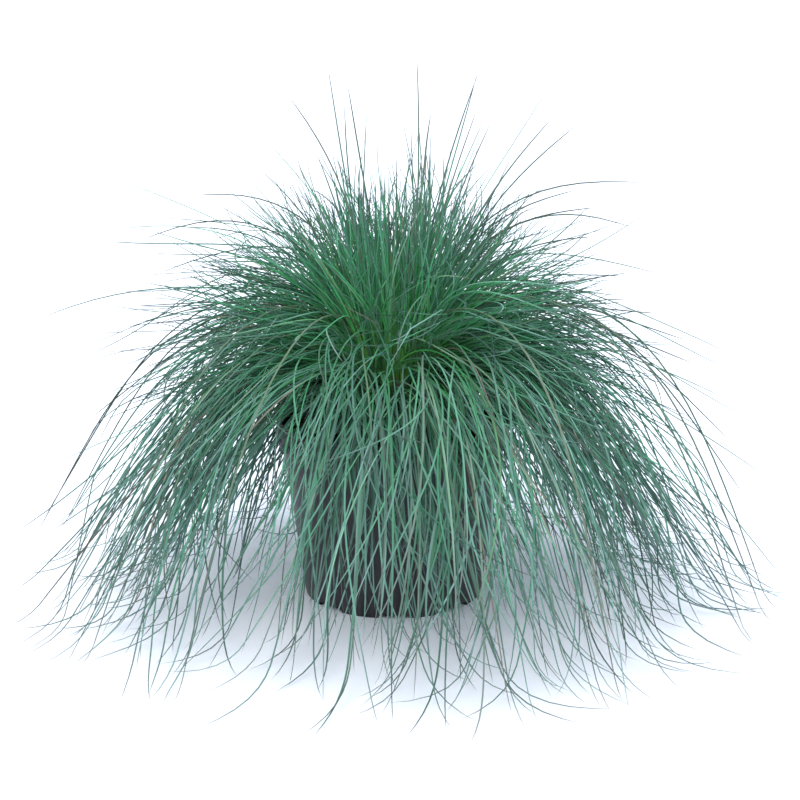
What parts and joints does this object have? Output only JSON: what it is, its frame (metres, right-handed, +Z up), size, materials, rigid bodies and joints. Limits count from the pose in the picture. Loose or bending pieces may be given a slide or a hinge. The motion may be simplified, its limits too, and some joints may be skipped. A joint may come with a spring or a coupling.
{
  "type": "potted blue fescue clump",
  "caption": "Blue fescue grass clump in a round black nursery pot, its fine blades arching from the crown over the rim down to the floor.",
  "frame": {"origin": "the middle of the pot's underside, on the surface that the pot stands on", "axes": "+Z up along the pot's axis; +X to the right as the picture shows the plant, along its widest spread; +Y away from the picture's camera"},
  "size_m": [0.486, 0.477, 0.335],
  "materials": {
    "pot_plastic": "satin, dusty black moulded plastic",
    "potting_soil": "matte, crumbly dark peat",
    "shoot_bases": "matte, fibrous pale green and straw",
    "fresh_leaves": "soft satin, bright green",
    "blue_leaves": "matte, blue-green with a pale waxy bloom"
  },
  "bodies": {
    "root": {"pot": "pot_plastic", "soil": "potting_soil", "crown": "shoot_bases", "centre_tuft_01": "fresh_leaves", "centre_tuft_02": "fresh_leaves", "centre_tuft_03": "fresh_leaves", "centre_tuft_04": "fresh_leaves", "inner_tuft_01": "fresh_leaves", "inner_tuft_02": "fresh_leaves", "inner_tuft_03": "fresh_leaves", "inner_tuft_04": "fresh_leaves", "inner_tuft_05": "fresh_leaves", "inner_tuft_06": "fresh_leaves", "inner_tuft_07": "fresh_leaves", "inner_tuft_08": "fresh_leaves", "middle_tuft_01": "blue_leaves", "middle_tuft_02": "blue_leaves", "middle_tuft_03": "blue_leaves", "middle_tuft_04": "blue_leaves", "middle_tuft_05": "blue_leaves", "middle_tuft_06": "blue_leaves", "middle_tuft_07": "blue_leaves", "middle_tuft_08": "blue_leaves", "middle_tuft_09": "blue_leaves", "middle_tuft_10": "blue_leaves", "middle_tuft_11": "blue_leaves", "middle_tuft_12": "blue_leaves", "outer_tuft_01": "blue_leaves", "outer_tuft_02": "blue_leaves", "outer_tuft_03": "blue_leaves", "outer_tuft_04": "blue_leaves", "outer_tuft_05": "blue_leaves", "outer_tuft_06": "blue_leaves", "outer_tuft_07": "blue_leaves", "outer_tuft_08": "blue_leaves", "outer_tuft_09": "blue_leaves", "outer_tuft_10": "blue_leaves", "outer_tuft_11": "blue_leaves", "outer_tuft_12": "blue_leaves", "outer_tuft_13": "blue_leaves", "outer_tuft_14": "blue_leaves", "outer_tuft_15": "blue_leaves", "outer_tuft_16": "blue_leaves", "outer_tuft_17": "blue_leaves", "outer_tuft_18": "blue_leaves"}
  },
  "joints": []
}
